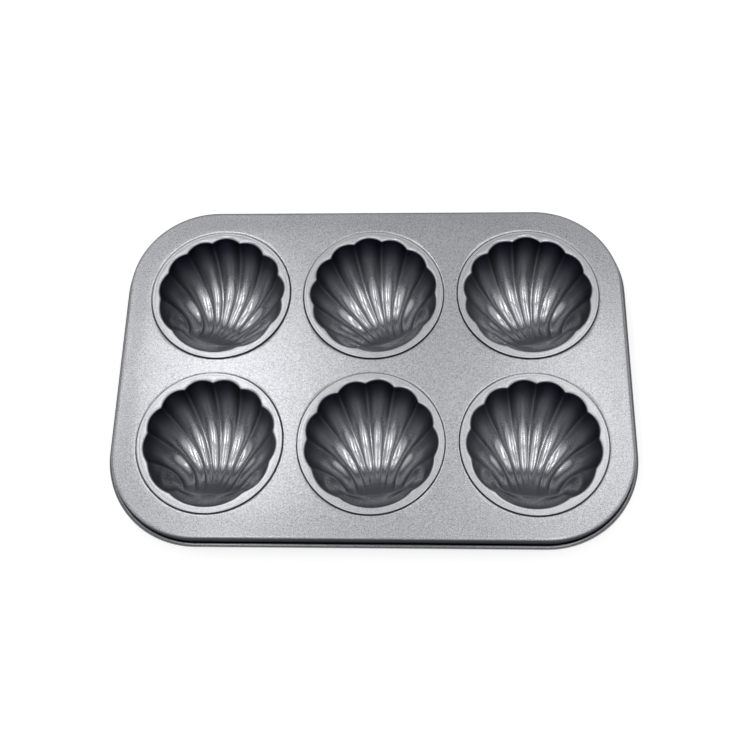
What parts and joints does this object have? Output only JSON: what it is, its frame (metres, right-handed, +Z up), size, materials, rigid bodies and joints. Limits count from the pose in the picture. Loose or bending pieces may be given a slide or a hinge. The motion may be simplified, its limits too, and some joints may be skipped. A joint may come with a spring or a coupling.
{
  "type": "madeleine pan",
  "caption": "Pressed steel baking pan with fluted scallop-shell cups seamed into a flat tray with a wired, rolled rim.",
  "frame": {"origin": "centre of the pan's plan on the surface it stands on, under the cups", "axes": "+X along the pan's width, to the right of someone facing the cups' hinges; +Y away from them; +Z up, out of the cups"},
  "size_m": [0.2714, 0.1896, 0.0325],
  "materials": {
    "tray_coating": "satin metallic grey non-stick coating",
    "cup_coating": "satin metallic grey non-stick coating",
    "wire_steel": "drawn mild steel wire"
  },
  "bodies": {
    "root": {"tray": "tray_coating", "rim_wire": "wire_steel", "cup_back_left": "cup_coating", "cup_back_middle": "cup_coating", "cup_back_right": "cup_coating", "cup_front_left": "cup_coating", "cup_front_middle": "cup_coating", "cup_front_right": "cup_coating"}
  },
  "joints": []
}
